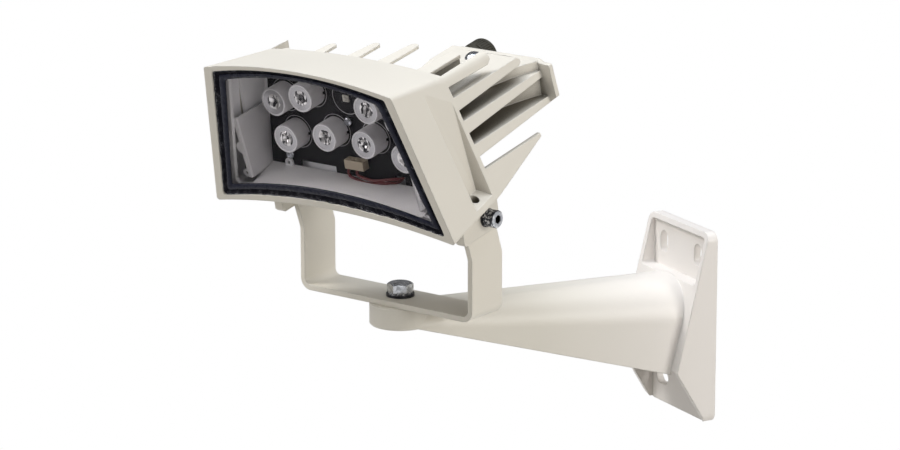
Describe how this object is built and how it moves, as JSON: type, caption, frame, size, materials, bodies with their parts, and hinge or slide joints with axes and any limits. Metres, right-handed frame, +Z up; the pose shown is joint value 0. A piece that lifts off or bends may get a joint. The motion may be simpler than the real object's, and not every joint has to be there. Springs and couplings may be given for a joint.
{
  "type": "infrared illuminator",
  "caption": "Wall-mounted infrared illuminator: arched, finned metal head with lens lamps behind glass, held by a bent yoke that pans on a hollow wall arm and tilts on side screws.",
  "frame": {"origin": "on the wall face of the bracket, midway across it and midway up its plate", "axes": "+Y into the wall, +Z up, +X to the right for a viewer who faces the wall; the arm reaches along -Y"},
  "size_m": [0.2212, 0.3922, 0.3199],
  "materials": {
    "powder_coat": "satin powder coat on a light alloy casting",
    "powder_coat_steel": "satin powder coat on bent flat steel",
    "bright_zinc": "bright zinc plate",
    "dark_zinc": "dull dark zinc plate",
    "window_glass": "clear, faintly grey",
    "black_sealant": "cured, slightly uneven",
    "navy_bead": "smooth",
    "board_black": "solder mask with white print",
    "holder_grey": "moulded, satin",
    "lens_clear": "clear, polished",
    "emitter_yellow": "clear dome over a chip",
    "plug_beige": "moulded",
    "lead_red": "insulation",
    "shield_grey": "moulded, satin",
    "gland_black": "moulded polyamide",
    "gland_rubber": "matt"
  },
  "bodies": {
    "wall_mount": {"wall_bracket": "powder_coat", "pan_bolt": "dark_zinc", "pan_flat_washer": "bright_zinc", "pan_lock_washer": "bright_zinc"},
    "yoke": {"yoke": "powder_coat_steel", "tilt_screws": "bright_zinc", "tilt_flat_washers": "bright_zinc", "tilt_lock_washers": "bright_zinc", "tilt_nuts": "bright_zinc"},
    "head": {"head_housing": "powder_coat", "window_glass": "window_glass", "window_sealant": "black_sealant", "window_bead": "navy_bead", "led_board": "board_black", "lens_holders": "holder_grey", "lenses": "lens_clear", "led_emitters": "emitter_yellow", "board_screws": "bright_zinc", "board_posts": "holder_grey", "board_plug": "plug_beige", "supply_leads": "lead_red", "shield_left": "shield_grey", "shield_right": "shield_grey", "rear_gasket": "black_sealant", "rear_cover": "powder_coat", "cover_screws": "dark_zinc", "earth_screw": "bright_zinc", "gland_body": "gland_black", "gland_cap": "gland_black", "gland_seal": "gland_rubber"}
  },
  "joints": [
    {"name": "pan", "type": "hinge", "parent": "wall_mount", "child": "yoke", "pos_m": [0, -0.25, 0.0456], "axis": [0, 0, 1], "range_deg": [-113.8, 66.2]},
    {"name": "tilt", "type": "hinge", "parent": "yoke", "child": "head", "pos_m": [0.0048, -0.26089, 0.1253], "axis": [0.915, 0.4035, 0], "range_deg": [-57, 48]}
  ]
}
